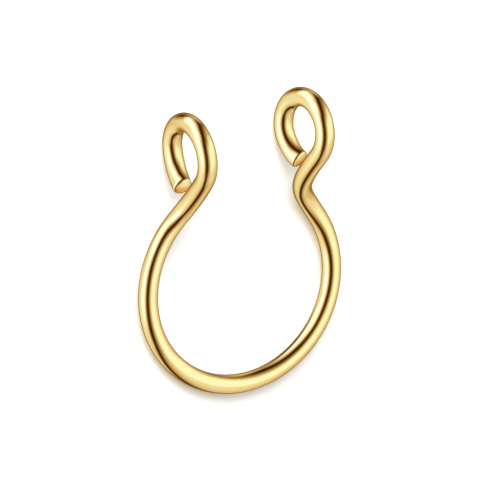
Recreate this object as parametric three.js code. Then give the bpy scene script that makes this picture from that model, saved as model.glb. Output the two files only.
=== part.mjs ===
// A clip-on nose ring: one length of round wire, bent into an open hoop with an eye at each end.
// Units are millimetres. The ring lies on its back on the plane z = 0: the hoop opens towards +Y,
// and the two eyes stand up from the surface towards +Z, one on each side of the opening.
import * as THREE from 'three';

// Wire
const wireDiameter = 0.8;
const rimRounding = 0.13; // radius of the rounded rim round each cut end
const endBulge = 0.05; // how far the face of a cut end stands out at its middle

// Hoop, slightly wider than it is long
const hoopInnerWidth = 8.34;
const hoopInnerLength = 7.54;
const shoulderAngle = 27.6; // degrees past the hoop's widest line, where the neck leaves the hoop

// Neck, the S-bend that joins the hoop to an eye
const shoulderReach = 1.54; // how far the neck follows the hoop's own direction
const neckReach = 2.47; // how far the neck follows the direction in which the eye starts

// Eyes, the round loops that stand beside the opening
const eyeInnerWidth = 1.85;
const eyeSpacing = 5.64; // between the middles of the two eyes
const eyeDistance = 6.06; // from the middle of the hoop to the middle of an eye, along the ring
const eyeLift = 1.1; // height of an eye's middle above the hoop's middle plane
const eyeStartAngle = -46.7; // degrees round the eye from its top, on the side of the hoop
const eyeEndAngle = 180; // degrees round the eye from its top, by its far side
const eyeLeanOut = 3.3; // degrees that an eye leans outwards as it rises
const eyeToeOut = 2.3; // degrees that an eye turns outwards, away from the hoop

// Tails, the last stretch of wire, which runs from under an eye back to its neck
const tailLength = 1.34; // unless the wire has to be cut sooner to clear the neck
const tailCurl = 0.74; // how far the tail has bent up at its end, towards the inside of the eye
const tailSplay = 0.16; // how far the tail has bent outwards at its end
const tailReach = 0.46; // how far the tail follows its first direction, and also its last
const tailEndRise = 61; // degrees by which the end of the tail points up
const tailEndTurn = 9.6; // degrees by which the end of the tail points outwards
const endGap = 0.1; // least gap between a cut end and the neck beside it

// Fineness of the surface
const wireSides = 20;
const wireSteps = 150;
const rimSteps = 3;
const cutStep = 0.01;

const wireRadius = wireDiameter / 2;
const hoopRadiusX = hoopInnerWidth / 2 + wireRadius;
const hoopRadiusY = hoopInnerLength / 2 + wireRadius;
const eyeRadius = eyeInnerWidth / 2 + wireRadius;
const radians = THREE.MathUtils.degToRad;

// An arc of an ellipse in space: its two half axes are vectors, and its angles are measured
// from the first towards the second.
class SpaceArc extends THREE.Curve {

	constructor(centre, firstAxis, secondAxis, startAngle, endAngle) {
		super();
		this.centre = centre;
		this.firstAxis = firstAxis;
		this.secondAxis = secondAxis;
		this.startAngle = startAngle;
		this.endAngle = endAngle;
	}

	getPoint(t, target = new THREE.Vector3()) {
		const angle = THREE.MathUtils.lerp(this.startAngle, this.endAngle, t);
		return target.copy(this.centre)
			.addScaledVector(this.firstAxis, Math.cos(angle))
			.addScaledVector(this.secondAxis, Math.sin(angle));
	}

}

// The centreline of the whole wire. The right half is given from the middle of the hoop to its cut
// end, and the left half is its mirror image.
class WireLine extends THREE.Curve {

	constructor(rightHalf, usedShare) {
		super();
		this.rightHalf = rightHalf;
		this.usedShare = usedShare;
		this.arcLengthDivisions = 1200;
	}

	getPoint(t, target = new THREE.Vector3()) {
		const side = Math.sign(t - 0.5);
		const share = Math.abs(2 * t - 1) * this.usedShare;
		target.copy(this.rightHalf.getPoint(share));
		target.x *= side;
		return target;
	}

}

// The right eye's own directions: across it, along the ring and up.
function eyeAxes() {
	const turn = new THREE.Euler(0, radians(eyeLeanOut), -radians(eyeToeOut), 'ZYX');
	return {
		outwards: new THREE.Vector3(1, 0, 0).applyEuler(turn),
		along: new THREE.Vector3(0, 1, 0).applyEuler(turn),
		up: new THREE.Vector3(0, 0, 1).applyEuler(turn),
	};
}

function hoopCurve() {
	return new SpaceArc(
		new THREE.Vector3(),
		new THREE.Vector3(hoopRadiusX, 0, 0),
		new THREE.Vector3(0, hoopRadiusY, 0),
		-Math.PI / 2,
		radians(shoulderAngle),
	);
}

function eyeCurve(axes) {
	return new SpaceArc(
		new THREE.Vector3(eyeSpacing / 2, eyeDistance, eyeLift),
		axes.up.clone().multiplyScalar(eyeRadius),
		axes.along.clone().multiplyScalar(eyeRadius),
		radians(eyeStartAngle),
		radians(eyeEndAngle),
	);
}

function neckCurve(hoop, eye) {
	const start = hoop.getPoint(1);
	const end = eye.getPoint(0);
	return new THREE.CubicBezierCurve3(
		start,
		start.clone().addScaledVector(hoop.getTangent(1), shoulderReach),
		end.clone().addScaledVector(eye.getTangent(0), -neckReach),
		end,
	);
}

function tailCurve(eye, axes) {
	const start = eye.getPoint(1);
	const direction = eye.getTangent(1);
	const inwards = new THREE.Vector3().crossVectors(direction, axes.outwards);
	const end = start.clone()
		.addScaledVector(direction, tailLength)
		.addScaledVector(inwards, tailCurl)
		.addScaledVector(axes.outwards, tailSplay);
	const endDirection = new THREE.Vector3()
		.addScaledVector(direction, Math.cos(radians(tailEndRise)))
		.addScaledVector(inwards, Math.sin(radians(tailEndRise)))
		.multiplyScalar(Math.cos(radians(tailEndTurn)))
		.addScaledVector(axes.outwards, Math.sin(radians(tailEndTurn)));
	return new THREE.CubicBezierCurve3(
		start,
		start.clone().addScaledVector(direction, tailReach),
		end.clone().addScaledVector(endDirection, -tailReach),
		end,
	);
}

// Points on the rim of a cut end that would lie at this share of the half, and its middle.
function endPoints(half, share) {
	const ahead = half.getTangent(share);
	const full = half.getPoint(share);
	const spoke = new THREE.Vector3(1, 0, 0).cross(ahead).setLength(wireRadius);
	const points = [full.clone().addScaledVector(ahead, rimRounding + endBulge)];
	for (let i = 0; i < wireSides; i++) {
		const turned = spoke.clone().applyAxisAngle(ahead, 2 * Math.PI * i / wireSides);
		points.push(full.clone().addScaledVector(ahead, rimRounding / 2).add(turned));
	}
	return points;
}

// The share of the right half at which the wire is cut, so that its end stays clear of the neck.
function shareBeforeCut(rightHalf, neck) {
	const neckPoints = neck.getSpacedPoints(100);
	const clearance = wireRadius + endGap;
	const fullLength = rightHalf.getLength();
	const tooNear = (length) => {
		const end = endPoints(rightHalf, length / fullLength);
		return end.some((point) => neckPoints.some((middle) => middle.distanceTo(point) < clearance));
	};
	let length = fullLength;
	while (tooNear(length)) {
		length -= cutStep;
	}
	return length / fullLength;
}

function wireLine() {
	const axes = eyeAxes();
	const hoop = hoopCurve();
	const eye = eyeCurve(axes);
	const neck = neckCurve(hoop, eye);
	const rightHalf = new THREE.CurvePath();
	rightHalf.curves.push(hoop, neck, eye, tailCurve(eye, axes));
	return new WireLine(rightHalf, shareBeforeCut(rightHalf, neck));
}

// One end of the straight wire's profile, from the axis out to the full radius. Heights are
// measured beyond the full section.
function endProfile() {
	const profile = [new THREE.Vector2(0, rimRounding + endBulge)];
	const face = wireRadius - rimRounding;
	profile.push(new THREE.Vector2(face / 2, rimRounding + endBulge * 0.75));
	for (let i = 0; i <= rimSteps; i++) {
		const angle = (Math.PI / 2) * (1 - i / rimSteps);
		profile.push(new THREE.Vector2(
			face + rimRounding * Math.cos(angle),
			rimRounding * Math.sin(angle),
		));
	}
	return profile;
}

// The straight wire stands along Y, from 0 to its length, with a rounded end beyond each.
function straightWire(length) {
	const end = endProfile();
	const profile = end.map((point) => new THREE.Vector2(point.x, -point.y));
	for (let i = 1; i < wireSteps; i++) {
		profile.push(new THREE.Vector2(wireRadius, length * i / wireSteps));
	}
	end.reverse().forEach((point) => profile.push(new THREE.Vector2(point.x, length + point.y)));
	return new THREE.LatheGeometry(profile, wireSides);
}

// Moves each point of the straight wire to its place round the centreline. The rounded ends go
// straight on from the ends of the line.
function bend(geometry, line, length) {
	const frames = line.computeFrenetFrames(wireSteps, false);
	const position = geometry.attributes.position;
	const vertex = new THREE.Vector3();
	const place = new THREE.Vector3();
	for (let i = 0; i < position.count; i++) {
		vertex.fromBufferAttribute(position, i);
		const reach = THREE.MathUtils.clamp(vertex.y, 0, length);
		const step = Math.round(wireSteps * reach / length);
		line.getPointAt(step / wireSteps, place);
		place.addScaledVector(frames.tangents[step], vertex.y - reach);
		place.addScaledVector(frames.binormals[step], vertex.x);
		place.addScaledVector(frames.normals[step], vertex.z);
		position.setXYZ(i, place.x, place.y, place.z);
	}
}

// The angle by which the ring tips when the undersides of its eyes reach lower than the hoop does.
function restingTilt() {
	const eyeLow = eyeLift - eyeRadius * Math.cos(radians(eyeLeanOut));
	return Math.atan2(Math.max(0, -eyeLow), eyeDistance + hoopRadiusY);
}

function ringWire() {
	const line = wireLine();
	const length = line.getLength();
	const geometry = straightWire(length);
	bend(geometry, line, length);
	geometry.rotateX(restingTilt());
	geometry.computeBoundingBox();
	const box = geometry.boundingBox;
	geometry.translate(0, -(box.min.y + box.max.y) / 2, -box.min.z);
	geometry.computeVertexNormals();
	const gold = new THREE.MeshStandardMaterial({ color: 0xf2cf75, metalness: 1, roughness: 0.12 });
	const mesh = new THREE.Mesh(geometry, gold);
	mesh.name = 'ring_wire';
	return mesh;
}

const group = new THREE.Group();
group.name = 'nose_ring';
group.add(ringWire());

export default group;
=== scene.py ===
"""A clip-on nose ring of polished gold wire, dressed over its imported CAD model.

The ring lies on its side on a pale floor. Lengths are metres in the frame of the CAD model.
"""

import math

import bpy
import numpy as np
from bpy.props import FloatProperty, FloatVectorProperty, IntProperty, PointerProperty
from mathutils import Matrix, Vector


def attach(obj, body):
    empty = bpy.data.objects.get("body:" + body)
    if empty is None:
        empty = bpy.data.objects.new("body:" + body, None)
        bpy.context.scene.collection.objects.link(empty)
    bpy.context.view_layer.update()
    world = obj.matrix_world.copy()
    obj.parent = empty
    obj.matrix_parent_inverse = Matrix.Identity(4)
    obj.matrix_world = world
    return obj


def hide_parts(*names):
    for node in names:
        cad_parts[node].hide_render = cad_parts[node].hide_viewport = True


bl_info = {
    "name": "Nose Ring",
    "version": (1, 0, 0),
    "blender": (4, 5, 0),
    "location": "3D View > Sidebar > Nose Ring",
    "description": "Bends a clip-on nose ring from gold wire and sets it on a pale floor",
    "category": "Object",
}

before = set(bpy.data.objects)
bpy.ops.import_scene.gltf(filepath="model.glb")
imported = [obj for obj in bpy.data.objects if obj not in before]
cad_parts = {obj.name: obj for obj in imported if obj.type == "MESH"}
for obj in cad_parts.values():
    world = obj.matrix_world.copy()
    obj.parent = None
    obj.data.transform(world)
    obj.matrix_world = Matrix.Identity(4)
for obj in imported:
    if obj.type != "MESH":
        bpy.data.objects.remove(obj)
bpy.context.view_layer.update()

# Points on each bend as it is first drawn.
BEND_POINTS = 600
# The even steps in which the bends are then joined up.
DRAWN_STEP = 0.00001
# How far the bends of the wire run into each other, so that reflections pass over them evenly.
BEND_BLEND = 0.00012
# Rings of faces over the rounded rim of a cut end, and from there to its middle.
RIM_RINGS = 8
FACE_RINGS = 7

# On the way from a cut end's rim to its middle, the shares between which its colour takes over.
CUT_STARTS = 0.1
CUT_REACHED = 0.35
# Across the face of a cut end, from -1 on the hoop side to 1 on the eyes' side: where its painted
# shade ends and its painted highlight begins.
SHADE_ENDS = -0.35
HIGHLIGHT_STARTS = 0.45
# How many clouds, smudges and specks fit in a metre, in the gold and on the floor.
CLOUD_SCALE = 420
SMUDGE_SCALE = 1300
SPECK_SCALE = 6000
# How often the fine lines change from end to end of the wire and once round it, and how many
# times finer than that their noise is.
LINE_STRETCH = (1.5, 60, 1)
LINE_SCALE = 3
# Depth of the fine lines along the wire, and of the specks of the floor.
LINE_DEPTH = 0.000004
SPECK_DEPTH = 0.00002

# The picture's right and up, in the ring as it is bent.
PICTURE_RIGHT = Vector((0.8114, -0.0624, 0.5809))
PICTURE_UP = Vector((0.1992, 0.9643, -0.1750))
# Where the hoop's middle lies at rest, and how far the middle of the picture is above it and left.
HOOP_MIDDLE = Vector((0, -0.00159, 0.00049))
AIM_ABOVE = 0.001732
AIM_LEFT = 0.0000375
# Width of the camera's sensor, in millimetres.
SENSOR_WIDTH = 36

# How suddenly the foot of the brown card swings out under the ring.
CARD_BEND = 5.0
# How squarely behind the ring the walls begin to darken, and where they have done so.
WALL_DARKENS = -0.62
WALL_DARK = -0.86

# Width and height that each node has in the node editor.
NODE_WIDTH = 190
NODE_HEIGHT = 170


def length_of(name, description, default):
    return FloatProperty(
        name=name, description=description, default=default, min=0, unit="LENGTH", precision=5
    )


def angle_of(name, description, degrees):
    return FloatProperty(
        name=name, description=description, default=math.radians(degrees), subtype="ANGLE"
    )


def colour_of(name, description, default):
    return FloatVectorProperty(
        name=name, description=description, default=default, size=3, min=0, max=4,
        subtype="COLOR",
    )


def share_of(name, description, default):
    return FloatProperty(
        name=name, description=description, default=default, min=0, max=1, precision=3
    )


class WireSizes(bpy.types.PropertyGroup):
    """Sizes of the bent wire, the same as those of the solid."""

    wire_diameter: length_of("Wire diameter", "Thickness of the round wire", 0.0008)
    rim_rounding: length_of("Rim rounding", "Radius round the rim of a cut end", 0.00013)
    end_dome: angle_of("End dome", "Slope of a cut end's face at its rim", 15)
    hoop_inner_width: length_of("Hoop width", "Inside the hoop, from side to side", 0.00834)
    hoop_inner_length: length_of("Hoop length", "Inside the hoop, front to back", 0.00754)
    shoulder_angle: angle_of("Shoulder", "Past the widest line, where a neck starts", 27.6)
    shoulder_reach: length_of("Shoulder reach", "How far a neck follows the hoop", 0.00154)
    neck_reach: length_of("Neck reach", "How far a neck follows its eye", 0.00247)
    eye_inner_width: length_of("Eye width", "Inside each round eye", 0.00185)
    eye_spacing: length_of("Eye spacing", "Between the middles of the two eyes", 0.00564)
    eye_distance: length_of("Eye distance", "From hoop middle to eye middle", 0.00606)
    eye_lift: length_of("Eye lift", "Height of an eye's middle above the hoop", 0.0011)
    eye_start: angle_of("Eye start", "From the top of the eye, hoop side", -46.7)
    eye_end: angle_of("Eye end", "From the top of the eye, by its far side", 180)
    eye_lean: angle_of("Eye lean", "How far an eye leans outwards as it rises", 3.3)
    eye_toe: angle_of("Eye toe-out", "How far an eye turns outwards", 2.3)
    tail_length: length_of("Tail length", "From under the eye to the cut end", 0.00134)
    tail_curl: length_of("Tail curl", "How far the tail has bent up at its end", 0.00074)
    tail_splay: length_of("Tail splay", "How far the tail has bent outwards", 0.00016)
    tail_reach: length_of("Tail reach", "How far the tail follows each direction", 0.00046)
    tail_rise: angle_of("Tail rise", "How far the end of the tail points up", 61)
    tail_turn: angle_of("Tail turn", "How far the end of the tail points outwards", 9.6)
    sides: IntProperty(name="Sides", description="Faces round the wire", default=56, min=8)
    steps: IntProperty(name="Steps", description="Faces along the wire", default=860, min=60)


class GoldFinish(bpy.types.PropertyGroup):
    """Colours and polish of the wire."""

    gold: colour_of("Gold", "The polished surface", (0.93, 0.78, 0.39))
    deep_gold: colour_of("Deep gold", "Where the colour lies a little thicker", (0.92, 0.75, 0.34))
    # The two tones of a cut end's face are painted light: a cream painted highlight on the side
    # towards the eyes, and an orange painted shade on the side towards the hoop.
    highlit_cut_gold: colour_of("Cut end", "A cut end's face, where the wire broke off", (1.0, 0.94, 0.52))
    shaded_cut_gold: colour_of("Sheared", "A cut end's face, where the cutter went in", (1.0, 0.5, 0.12))
    edge_tint: colour_of("Edge tint", "Colour of reflections at a glancing angle", (0.62, 0.40, 0.2))
    polish: share_of("Roughness", "Roughness of the polished wire", 0.07)
    cut_roughness: share_of("Cut roughness", "Roughness of a cut end", 0.2)
    draw_marks: share_of("Drawing marks", "Strength of the fine lines along the wire", 0.05)


class StageLook(bpy.types.PropertyGroup):
    """Floor, studio light and camera."""

    floor_colour: colour_of("Floor", "Colour of the floor", (0.93, 0.93, 0.93))
    floor_reach: length_of("Floor reach", "From the ring to each edge of the floor", 1.5)
    lamp_power: FloatProperty(
        name="Lamp power", description="Power of the soft lamp beyond the ring", default=4.2,
        min=0, unit="POWER",
    )
    lamp_height: length_of("Lamp height", "Lamp above the floor", 0.28)
    lamp_back: length_of("Lamp back", "How far the lamp is behind the ring's middle", 0.34)
    lamp_left: length_of("Lamp left", "How far the lamp is left of the ring's middle", 0.16)
    lamp_width: length_of("Lamp width", "Width of the round lamp", 0.44)
    card_lean: share_of("Card lean", "How far the brown card leans right over the ring", 0.2)
    card_swing: share_of("Card swing", "How far its foot swings left under the ring", 0.28)
    dark: colour_of("Dark", "Middle of the brown card", (0.055, 0.012, 0.001))
    brown: colour_of("Brown", "Edge of the brown card", (0.25, 0.14, 0.035))
    deep_tan: colour_of("Deep tan", "Darkest shade of the studio walls", (0.52, 0.41, 0.28))
    tan: colour_of("Tan", "Shade of the studio walls", (0.77, 0.64, 0.5))
    pale_tan: colour_of("Pale tan", "Light of the studio walls", (0.94, 0.87, 0.78))
    cream: colour_of("Cream", "Light beside the soft boxes", (0.98, 1.0, 0.95))
    white: colour_of("White", "Light of the right soft box", (1.1, 1.24, 1.3))
    glare: colour_of("Glare", "Light of the left soft box", (1.25, 1.42, 2.1))
    camera_distance: length_of("Camera distance", "From the hoop's middle", 0.2)
    lens: FloatProperty(
        name="Lens", description="Focal length of the camera", default=370.1, min=1,
        unit="CAMERA",
    )


def eye_directions(sizes):
    """Across the right eye, along the ring and up, each as the eye itself stands."""
    turn = Matrix.Rotation(-sizes.eye_toe, 3, "Z") @ Matrix.Rotation(sizes.eye_lean, 3, "Y")
    return [np.array(turn.col[i]) for i in range(3)]


def arc_points(centre, first, second, start, end):
    """Points on an arc with these two half axes, its angles measured from the first."""
    turn = np.linspace(start, end, BEND_POINTS)[:, None]
    return centre + first * np.cos(turn) + second * np.sin(turn)


def bezier_points(knots):
    """Points on the Bezier curve that has these knots."""
    t = np.linspace(0, 1, BEND_POINTS)[:, None]
    order = len(knots) - 1
    return sum(
        math.comb(order, i) * (1 - t) ** (order - i) * t ** i * knot
        for i, knot in enumerate(knots)
    )


def direction_of(vector):
    return vector / np.linalg.norm(vector)


def right_half(sizes):
    """The centreline from the middle of the hoop, over the right eye, to the cut end."""
    radius = sizes.wire_diameter / 2
    across, along, up = eye_directions(sizes)
    half_width = np.array([sizes.hoop_inner_width / 2 + radius, 0, 0])
    half_length = np.array([0, sizes.hoop_inner_length / 2 + radius, 0])
    hoop = arc_points(np.zeros(3), half_width, half_length, -math.pi / 2, sizes.shoulder_angle)

    eye_radius = sizes.eye_inner_width / 2 + radius
    eye_middle = np.array([sizes.eye_spacing / 2, sizes.eye_distance, sizes.eye_lift])
    eye = arc_points(
        eye_middle, up * eye_radius, along * eye_radius, sizes.eye_start, sizes.eye_end
    )

    leave_hoop = direction_of(hoop[-1] - hoop[-2])
    enter_eye = direction_of(eye[1] - eye[0])
    neck = bezier_points([
        hoop[-1],
        hoop[-1] + leave_hoop * sizes.shoulder_reach,
        eye[0] - enter_eye * sizes.neck_reach,
        eye[0],
    ])

    leave_eye = direction_of(eye[-1] - eye[-2])
    inwards = np.cross(leave_eye, across)
    tail_end = (
        eye[-1]
        + leave_eye * sizes.tail_length
        + inwards * sizes.tail_curl
        + across * sizes.tail_splay
    )
    lifted = leave_eye * math.cos(sizes.tail_rise) + inwards * math.sin(sizes.tail_rise)
    end_direction = lifted * math.cos(sizes.tail_turn) + across * math.sin(sizes.tail_turn)
    tail = bezier_points([
        eye[-1],
        eye[-1] + leave_eye * sizes.tail_reach,
        tail_end - end_direction * sizes.tail_reach,
        tail_end,
    ])
    return np.vstack([hoop, neck[1:], eye[1:], tail[1:]])


def lengths_along(points):
    """The length of the line up to each of its points."""
    gaps = np.linalg.norm(np.diff(points, axis=0), axis=1)
    return np.concatenate([[0], np.cumsum(gaps)])


def evenly(points, steps):
    """The same line, divided into this many equal steps."""
    reached = lengths_along(points)
    stops = np.linspace(0, reached[-1], steps + 1)
    return np.stack([np.interp(stops, reached, points[:, i]) for i in range(3)], axis=1)


def blend_bends(line):
    """Lets each bend run into the next over a short stretch, with the two ends kept in place."""
    reach = int(4 * BEND_BLEND / DRAWN_STEP)
    offset = np.arange(-reach, reach + 1)
    weight = np.exp(-0.5 * (offset * DRAWN_STEP / BEND_BLEND) ** 2)
    weight /= weight.sum()
    before = 2 * line[0] - line[reach:0:-1]
    after = 2 * line[-1] - line[-2:-reach - 2:-1]
    padded = np.vstack([before, line, after])
    return np.stack([np.convolve(padded[:, i], weight, "valid") for i in range(3)], axis=1)


def wire_line(sizes):
    """The whole centreline, from the left cut end to the right one, flat as it is bent."""
    right = right_half(sizes)
    left = right[:0:-1] * [-1, 1, 1]
    bends = np.vstack([left, right])
    drawn = evenly(bends, int(round(lengths_along(bends)[-1] / DRAWN_STEP)))
    return evenly(blend_bends(drawn), sizes.steps)


def rest_turn(sizes):
    """The tilt at which the ring rests, on the closed side of its hoop and on both eyes."""
    eye_radius = sizes.eye_inner_width / 2 + sizes.wire_diameter / 2
    eye_low = sizes.eye_lift - eye_radius * math.cos(sizes.eye_lean)
    run = sizes.eye_distance + sizes.hoop_inner_length / 2 + sizes.wire_diameter / 2
    return Matrix.Rotation(math.atan2(max(0, -eye_low), run), 3, "X")


def carried_frames(line):
    """The direction of the wire at each step, and two directions across it that never twist."""
    ahead = np.gradient(line, axis=0)
    ahead /= np.linalg.norm(ahead, axis=1)[:, None]
    side = np.zeros_like(line)
    side[0] = direction_of(np.cross(ahead[0], [0, 0, 1.0]))
    for i in range(1, len(line)):
        carried = side[i - 1] - ahead[i] * np.dot(side[i - 1], ahead[i])
        side[i] = direction_of(carried)
    return ahead, side, np.cross(ahead, side)


def end_rings(sizes):
    """Radius and reach of each ring over a cut end, and how far the middle of its face reaches."""
    radius = sizes.wire_diameter / 2
    rim = sizes.rim_rounding
    dome = sizes.end_dome
    rings = []
    for i in range(1, RIM_RINGS + 1):
        turn = (math.pi / 2 - dome) * i / RIM_RINGS
        rings.append((radius - rim + rim * math.cos(turn), rim * math.sin(turn)))
    face, height = rings[-1]
    ball = face / math.sin(dome)
    for i in range(1, FACE_RINGS):
        slope = dome * (1 - i / FACE_RINGS)
        rings.append((ball * math.sin(slope), height + ball * (math.cos(slope) - math.cos(dome))))
    return rings, height + ball * (1 - math.cos(dome))


def wire_mesh(sizes):
    """The skin of the wire, with rounded cut ends, as the ring comes off the bending jig.

    Gives the points and faces, the shares that colour each point, and how far along the wire and
    round it each point lies.
    """
    line = wire_line(sizes)
    ahead, side, over = carried_frames(line)
    radius = sizes.wire_diameter / 2
    turns = np.linspace(0, 2 * math.pi, sizes.sides, endpoint=False)
    spokes = np.cos(turns)[None, :, None] * side[:, None, :]
    spokes = spokes + np.sin(turns)[None, :, None] * over[:, None, :]

    rings, tip = end_rings(sizes)
    last = len(line) - 1
    length = lengths_along(line)[-1]
    # Each row of points has the step of the line it stands at, its reach beyond it and its radius.
    rows = [(0, -reach, size) for size, reach in reversed(rings)]
    rows += [(i, 0, radius) for i in range(last + 1)]
    rows += [(last, reach, size) for size, reach in rings]
    circles = [line[i] + ahead[i] * reach + spokes[i] * size for i, reach, size in rows]
    tips = [[line[0] - ahead[0] * tip], [line[-1] + ahead[-1] * tip]]

    sides = sizes.sides
    faces = []
    for i in range(len(rows) - 1):
        for j in range(sides):
            k = (j + 1) % sides
            faces.append((i * sides + j, i * sides + k, (i + 1) * sides + k, (i + 1) * sides + j))
    first_tip = len(rows) * sides
    last_ring = first_tip - sides
    for j in range(sides):
        k = (j + 1) % sides
        faces.append((first_tip, k, j))
        faces.append((first_tip + 1, last_ring + j, last_ring + k))

    cut = [1 - size / radius for i, reach, size in rows]
    # How far each point of a cut end lies towards the eyes, which places the painted shade and the
    # painted highlight on its face.
    beyond = [spokes[i][:, 1] * size / radius for i, reach, size in rows]
    shares = {
        "cut_end": np.concatenate([np.repeat(cut, sides), [1, 1]]),
        "cut_beyond": np.concatenate(beyond + [[0, 0]]),
    }
    reached = [length * i / last + reach for i, reach, size in rows]
    along = np.concatenate([np.repeat(reached, sides), [-tip, length + tip]])
    around = np.concatenate([np.tile(turns, len(rows)), [0, 0]])
    return np.vstack(circles + tips), faces, shares, along, around


def node(tree, kind, place, inputs=None, **settings):
    """A node at this place in the editor, with its settings, and a value or link per input."""
    made = tree.nodes.new(kind)
    made.location = (place[0] * NODE_WIDTH, place[1] * NODE_HEIGHT)
    for name, value in settings.items():
        setattr(made, name, value)
    for key, value in (inputs or {}).items():
        if isinstance(value, bpy.types.NodeSocket):
            tree.links.new(value, made.inputs[key])
        else:
            made.inputs[key].default_value = value
    return made


def worked_out(tree, place, operation, *numbers):
    """The result of a Math node on these numbers or links."""
    inputs = dict(enumerate(numbers))
    return node(tree, "ShaderNodeMath", place, inputs, operation=operation).outputs[0]


def smooth_step(tree, place, value, start, end):
    """Rises smoothly from 0 to 1 while the value goes from start to end."""
    inputs = {"Value": value, "From Min": start, "From Max": end}
    made = node(tree, "ShaderNodeMapRange", place, inputs, interpolation_type="SMOOTHSTEP")
    return made.outputs["Result"]


def mixed(tree, place, factor, first, second, data_type="RGBA"):
    """The first of two colours or numbers where the factor is 0, the second where it is 1."""
    inputs = {"Factor": factor, "A": first, "B": second}
    return node(tree, "ShaderNodeMix", place, inputs, data_type=data_type).outputs["Result"]


def gold_colour(tree, finish, position, cut_share):
    """Gold with faint clouds, and the face of a cut end with a painted shade and a painted highlight.
    """
    inputs = {"Vector": position, "Scale": CLOUD_SCALE, "Detail": 3}
    cloud = node(tree, "ShaderNodeTexNoise", (-2, 2), inputs)
    gold = (*finish.gold, 1)
    deep_gold = (*finish.deep_gold, 1)
    polished = mixed(tree, (0, 2), cloud.outputs["Fac"], gold, deep_gold)

    # The face of a cut end gets an orange painted shade towards the hoop and a cream painted
    # highlight towards the eyes.
    beyond = node(tree, "ShaderNodeAttribute", (-4, 1), attribute_name="cut_beyond")
    highlit_share = smooth_step(tree, (-2, 1), beyond.outputs["Fac"], SHADE_ENDS, HIGHLIGHT_STARTS)
    shaded_cut_gold = (*finish.shaded_cut_gold, 1)
    face = mixed(tree, (0, 1), highlit_share, shaded_cut_gold, (*finish.highlit_cut_gold, 1))
    return mixed(tree, (2, 1), cut_share, polished, face)


def gold_roughness(tree, finish, position, cut_share):
    """The polish, with smudges that dull or brighten it by a fifth, and the rougher cut ends."""
    inputs = {"Vector": position, "Scale": SMUDGE_SCALE, "Detail": 4}
    smudge = node(tree, "ShaderNodeTexNoise", (-2, -2), inputs)
    polish = node(tree, "ShaderNodeMapRange", (0, -1), {
        "Value": smudge.outputs["Fac"],
        "From Min": 0.3,
        "From Max": 0.7,
        "To Min": finish.polish * 0.8,
        "To Max": finish.polish * 1.2,
    })
    rough = finish.cut_roughness
    return mixed(tree, (2, -1), cut_share, polish.outputs["Result"], rough, "FLOAT")


def drawn_lines(tree, finish, along_wire):
    """The fine lines that drawing leaves along the wire."""
    inputs = {"Vector": along_wire, "Scale": LINE_STRETCH}
    stretch = node(tree, "ShaderNodeMapping", (-2, -4), inputs)
    inputs = {"Vector": stretch.outputs["Vector"], "Scale": LINE_SCALE, "Detail": 2}
    lines = node(tree, "ShaderNodeTexNoise", (0, -4), inputs)
    relief = node(tree, "ShaderNodeBump", (2, -4), {
        "Strength": finish.draw_marks,
        "Distance": LINE_DEPTH,
        "Height": lines.outputs["Fac"],
    })
    return relief.outputs["Normal"]


def gold_material(finish):
    """Polished gold with a coloured edge, faint clouds, fine lines and plainer cut ends."""
    gold = bpy.data.materials.new("polished_gold")
    gold.use_nodes = True
    tree = gold.node_tree
    tree.nodes.clear()
    place = node(tree, "ShaderNodeTexCoord", (-4, 0))
    position = place.outputs["Object"]
    cut = node(tree, "ShaderNodeAttribute", (-4, -1), attribute_name="cut_end")
    cut_share = smooth_step(tree, (-2, 0), cut.outputs["Fac"], CUT_STARTS, CUT_REACHED)
    surface = node(tree, "ShaderNodeBsdfPrincipled", (6, 0), {
        "Metallic": 1,
        "Specular Tint": (*finish.edge_tint, 1),
        "Base Color": gold_colour(tree, finish, position, cut_share),
        "Roughness": gold_roughness(tree, finish, position, cut_share),
        "Normal": drawn_lines(tree, finish, place.outputs["UV"]),
    })
    node(tree, "ShaderNodeOutputMaterial", (8, 0), {"Surface": surface.outputs[0]})
    return gold


class NOSERING_OT_bend_wire(bpy.types.Operator):
    """Bends the whole ring from one length of round gold wire"""

    bl_idname = "nose_ring.bend_wire"
    bl_label = "Bend the wire"

    def execute(self, context):
        sizes = context.scene.nose_ring_wire
        points, faces, shares, along, around = wire_mesh(sizes)
        points = points @ np.array(rest_turn(sizes)).T
        low = points.min(axis=0)
        high = points.max(axis=0)
        points -= [0, (low[1] + high[1]) / 2, low[2]]

        mesh = bpy.data.meshes.new("ring_wire_polished")
        mesh.from_pydata(points.tolist(), [], faces)
        mesh.validate()
        mesh.shade_smooth()
        for name, values in shares.items():
            layer = mesh.attributes.new(name, "FLOAT", "POINT")
            layer.data.foreach_set("value", values.astype(np.float32))
        self.lay_uv(mesh, along, around)
        mesh.materials.append(gold_material(context.scene.nose_ring_finish))

        ring = bpy.data.objects.new("ring_wire_polished", mesh)
        context.scene.collection.objects.link(ring)
        # The wire mirrors the studio alone, so that its highlights stay clean.
        ring.visible_glossy = False
        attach(ring, "root")
        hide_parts("ring_wire")
        return {"FINISHED"}

    def lay_uv(self, mesh, along, around):
        """Runs the texture once along the wire, with one unit for each turn round it."""
        corners = np.empty(len(mesh.loops), dtype=np.int32)
        mesh.loops.foreach_get("vertex_index", corners)
        starts = np.empty(len(mesh.polygons), dtype=np.int32)
        mesh.polygons.foreach_get("loop_start", starts)
        totals = np.empty(len(mesh.polygons), dtype=np.int32)
        mesh.polygons.foreach_get("loop_total", totals)
        turn = around[corners] / (2 * math.pi)
        # The last face of a turn ends where the first begins, a whole turn on.
        highest = np.repeat(np.maximum.reduceat(turn, starts), totals)
        turn = np.where(highest - turn > 0.5, turn + 1, turn)
        share = (along[corners] - along.min()) / (along.max() - along.min())
        flat = np.stack([share, turn], axis=1)
        layer = mesh.uv_layers.new(name="along_wire")
        layer.data.foreach_set("uv", flat.astype(np.float32).ravel())


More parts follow.
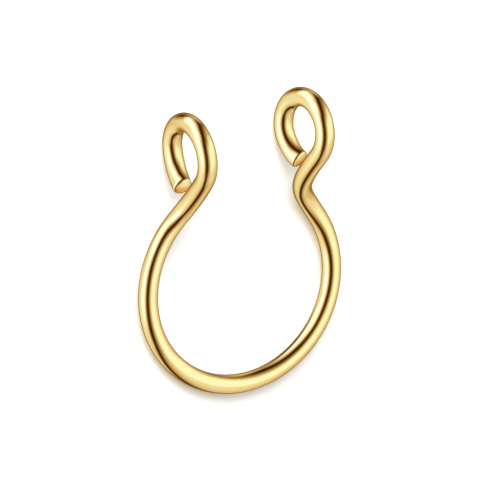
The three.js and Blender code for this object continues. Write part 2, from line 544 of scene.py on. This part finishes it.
def camera_axes(sizes):
    """Right, up and towards the camera, turned with the ring as it rests."""
    turn = rest_turn(sizes)
    right = (turn @ PICTURE_RIGHT).normalized()
    towards = right.cross(turn @ PICTURE_UP).normalized()
    return right, towards.cross(right), towards


def dome_angles(tree, look, axes):
    """How far each direction of the dome lies to the side, how far round, and how far in front.

    The side runs from 0 on the left, over a half in the middle of the brown card, which hangs a
    little askew, to 1 on the right. The round runs from 0 behind the ring, under it, to a half
    at the camera, and over the ring to 1. The last is 1 at the camera and -1 opposite it.
    """
    place = node(tree, "ShaderNodeTexCoord", (-10, 0))
    parts = []
    for i, axis in enumerate(axes):
        inputs = {0: place.outputs["Generated"], 1: axis}
        dot = node(tree, "ShaderNodeVectorMath", (-8, 2 - 2 * i), inputs, operation="DOT_PRODUCT")
        parts.append(dot.outputs["Value"])
    sideways, upwards, in_front = parts
    turn = worked_out(tree, (-6, -2), "ARCTAN2", upwards, in_front)
    round_share = worked_out(tree, (-5, -2), "MULTIPLY_ADD", turn, 0.5 / math.pi, 0.5)

    rise = worked_out(tree, (-6, 0), "MAXIMUM", upwards, 0.0)
    lean = worked_out(tree, (-5, 0), "MULTIPLY", rise, -look.card_lean)
    fall = worked_out(tree, (-7, -1), "MINIMUM", upwards, 0.0)
    depth = worked_out(tree, (-6, -1), "ABSOLUTE", fall)
    foot = worked_out(tree, (-5, -1), "POWER", depth, CARD_BEND)
    askew = worked_out(tree, (-4, 0), "MULTIPLY_ADD", foot, look.card_swing, lean)
    from_card = worked_out(tree, (-4, 1), "ADD", sideways, askew)
    from_card = worked_out(tree, (-3, 1), "MINIMUM", from_card, 1.0)
    from_card = worked_out(tree, (-2, 1), "MAXIMUM", from_card, -1.0)
    angle = worked_out(tree, (-2, 2), "ARCSINE", from_card)
    side_share = worked_out(tree, (-1, 2), "MULTIPLY_ADD", angle, 1 / math.pi, 0.5)
    return side_share, round_share, in_front


def belt_of_light(tree, place, share, stops):
    """Light from the left to the right of the dome, with stops in degrees from the card."""
    ramp = node(tree, "ShaderNodeValToRGB", place, {"Fac": share})
    ramp.color_ramp.interpolation = "LINEAR"
    marks = ramp.color_ramp.elements
    while len(marks) < len(stops):
        marks.new(0.5)
    for mark, (degrees, colour) in zip(marks, stops):
        mark.position = degrees / 180 + 0.5
        mark.color = (*colour, 1)
    return ramp.outputs["Color"]


def belts_round_the_ring(look):
    """The light behind the ring, and the belts from there under it, past the camera and over it.

    A belt has the degrees between which it takes over, 0 at the camera and less below it, and
    its stops: degrees to the right of the brown card, and the light there.
    """
    behind = (
        (-90, look.cream), (-62, look.pale_tan), (-40, look.tan), (-10, look.brown),
        (10, look.deep_tan), (34, look.tan), (56, look.tan), (72, look.pale_tan),
        (90, look.white),
    )
    under_behind = (
        (-90, look.cream), (-56, look.cream), (-20, look.pale_tan), (-12, look.deep_tan),
        (-5, look.dark), (3, look.dark), (11, look.deep_tan), (20, look.pale_tan),
        (36, look.tan), (56, look.tan), (90, look.white),
    )
    under = (
        (-90, look.pale_tan), (-66, look.white), (-50, look.cream), (-36, look.pale_tan),
        (-22, look.tan), (-15, look.deep_tan), (-10, look.brown), (-5, look.dark),
        (4, look.dark), (10, look.brown), (17, look.deep_tan), (28, look.tan),
        (40, look.pale_tan), (66, look.pale_tan), (90, look.white),
    )
    low = (
        (-90, look.cream), (-72, look.glare), (-46, look.glare), (-37, look.cream),
        (-28, look.tan), (-18, look.brown), (-9, look.dark), (3, look.dark),
        (11, look.brown), (21, look.deep_tan), (33, look.pale_tan), (45, look.white),
        (90, look.white),
    )
    high = (
        (-90, look.cream), (-72, look.glare), (-42, look.glare), (-28, look.cream),
        (-20, look.tan), (-12, look.brown), (-4, look.dark), (8, look.dark),
        (18, look.brown), (30, look.deep_tan), (42, look.pale_tan), (52, look.white),
        (90, look.white),
    )
    over = (
        (-90, look.pale_tan), (-76, look.white), (-36, look.glare), (-24, look.cream),
        (-12, look.deep_tan), (-2, look.dark), (10, look.dark), (18, look.brown),
        (32, look.deep_tan), (40, look.pale_tan), (52, look.white), (90, look.white),
    )
    over_behind = (
        (-90, look.pale_tan), (-74, look.pale_tan), (-60, look.deep_tan), (-48, look.brown),
        (-38, look.dark), (-26, look.brown), (-12, look.deep_tan), (2, look.tan),
        (12, look.deep_tan), (18, look.brown), (26, look.deep_tan), (36, look.tan),
        (46, look.pale_tan), (58, look.white), (90, look.white),
    )
    return behind, (
        (-168, -140, under_behind),
        (-122, -104, under),
        (-80, -52, low),
        (5, 40, high),
        (55, 80, over),
        (98, 118, over_behind),
        (135, 160, behind),
    )


def studio_dome(world, look, axes):
    """Soft boxes to the left and right, a brown card between them, and tan walls behind."""
    world.use_nodes = True
    tree = world.node_tree
    tree.nodes.clear()
    side_share, round_share, in_front = dome_angles(tree, look, axes)
    behind, belts = belts_round_the_ring(look)
    light = belt_of_light(tree, (0, 6), side_share, behind)
    for i, (start, end, stops) in enumerate(belts):
        belt = belt_of_light(tree, (0, 4 - 2 * i), side_share, stops)
        place = (3 + 2 * i, 4 - i)
        reached = smooth_step(tree, place, round_share, start / 360 + 0.5, end / 360 + 0.5)
        light = mixed(tree, (place[0] + 1, place[1]), reached, light, belt)
    reached = smooth_step(tree, (18, -3), in_front, WALL_DARKENS, WALL_DARK)
    light = mixed(tree, (19, -3), reached, light, (*look.deep_tan, 1))
    glow = node(tree, "ShaderNodeBackground", (20, 0), {"Color": light})
    node(tree, "ShaderNodeOutputWorld", (22, 0), {"Surface": glow.outputs[0]})


def floor_material(look):
    """Satin white card with a faint tooth."""
    card = bpy.data.materials.new("pale_floor")
    card.use_nodes = True
    tree = card.node_tree
    surface = tree.nodes["Principled BSDF"]
    surface.inputs["Base Color"].default_value = (*look.floor_colour, 1)
    surface.inputs["Roughness"].default_value = 0.35
    surface.inputs["IOR"].default_value = 1.45
    specks = node(tree, "ShaderNodeTexNoise", (-4, -2), {"Scale": SPECK_SCALE})
    relief = node(tree, "ShaderNodeBump", (-2, -2), {
        "Strength": 0.1,
        "Distance": SPECK_DEPTH,
        "Height": specks.outputs["Fac"],
    })
    tree.links.new(relief.outputs["Normal"], surface.inputs["Normal"])
    return card


class NOSERING_OT_set_stage(bpy.types.Operator):
    """Lays the pale floor and sets the studio light and the camera"""

    bl_idname = "nose_ring.set_stage"
    bl_label = "Set the stage"

    def execute(self, context):
        look = context.scene.nose_ring_stage
        axes = camera_axes(context.scene.nose_ring_wire)
        self.lay_floor(context, look)
        self.hang_lamp(context, look)
        world = bpy.data.worlds.new("studio_dome")
        context.scene.world = world
        studio_dome(world, look, axes)
        self.place_camera(context, look, axes)
        context.scene.view_settings.view_transform = "Standard"
        return {"FINISHED"}

    def lay_floor(self, context, look):
        reach = look.floor_reach
        mesh = bpy.data.meshes.new("floor")
        corners = [(-reach, -reach, 0), (reach, -reach, 0), (reach, reach, 0), (-reach, reach, 0)]
        mesh.from_pydata(corners, [], [(0, 1, 2, 3)])
        mesh.materials.append(floor_material(look))
        floor = bpy.data.objects.new("floor", mesh)
        # The wire doesn't mirror the floor, and gets the light of the dome through it.
        floor.visible_glossy = False
        floor.visible_shadow = False
        context.scene.collection.objects.link(floor)

    def hang_lamp(self, context, look):
        lamp = bpy.data.lights.new("soft_lamp", "AREA")
        lamp.shape = "DISK"
        lamp.size = look.lamp_width
        lamp.energy = look.lamp_power
        hung = bpy.data.objects.new("soft_lamp", lamp)
        place = Vector((-look.lamp_left, look.lamp_back, look.lamp_height))
        aimed = place.to_track_quat("Z", "Y").to_matrix().to_4x4()
        hung.matrix_world = Matrix.Translation(place) @ aimed
        hung.visible_glossy = False
        hung.visible_camera = False
        context.scene.collection.objects.link(hung)

    def place_camera(self, context, look, axes):
        right, up, towards = axes
        target = HOOP_MIDDLE - right * AIM_LEFT + up * AIM_ABOVE
        camera = bpy.data.cameras.new("camera")
        camera.lens = look.lens
        camera.sensor_width = SENSOR_WIDTH
        camera.clip_start = 0.01
        camera.clip_end = 10
        spot = HOOP_MIDDLE + towards * look.camera_distance
        forward = (target - spot).normalized()
        level = forward.cross(up).normalized()
        turn = Matrix((level, level.cross(forward), -forward)).transposed()
        placed = bpy.data.objects.new("camera", camera)
        placed.matrix_world = Matrix.Translation(spot) @ turn.to_4x4()
        context.scene.collection.objects.link(placed)
        context.scene.camera = placed


class NOSERING_PT_panel(bpy.types.Panel):
    """Sizes, colours and steps of the nose ring"""

    bl_label = "Nose Ring"
    bl_idname = "NOSERING_PT_panel"
    bl_space_type = "VIEW_3D"
    bl_region_type = "UI"
    bl_category = "Nose Ring"

    def draw(self, context):
        groups = (
            (context.scene.nose_ring_wire, None),
            (context.scene.nose_ring_finish, NOSERING_OT_bend_wire.bl_idname),
            (context.scene.nose_ring_stage, NOSERING_OT_set_stage.bl_idname),
        )
        for group, operator in groups:
            column = self.layout.column()
            for name in group.__annotations__:
                column.prop(group, name)
            if operator:
                column.operator(operator)


CLASSES = (
    WireSizes,
    GoldFinish,
    StageLook,
    NOSERING_OT_bend_wire,
    NOSERING_OT_set_stage,
    NOSERING_PT_panel,
)


def register():
    for made in CLASSES:
        bpy.utils.register_class(made)
    bpy.types.Scene.nose_ring_wire = PointerProperty(type=WireSizes)
    bpy.types.Scene.nose_ring_finish = PointerProperty(type=GoldFinish)
    bpy.types.Scene.nose_ring_stage = PointerProperty(type=StageLook)


def unregister():
    del bpy.types.Scene.nose_ring_stage
    del bpy.types.Scene.nose_ring_finish
    del bpy.types.Scene.nose_ring_wire
    for made in reversed(CLASSES):
        bpy.utils.unregister_class(made)


def main():
    register()
    bpy.ops.nose_ring.bend_wire()
    bpy.ops.nose_ring.set_stage()


if __name__ == "__main__":
    main()
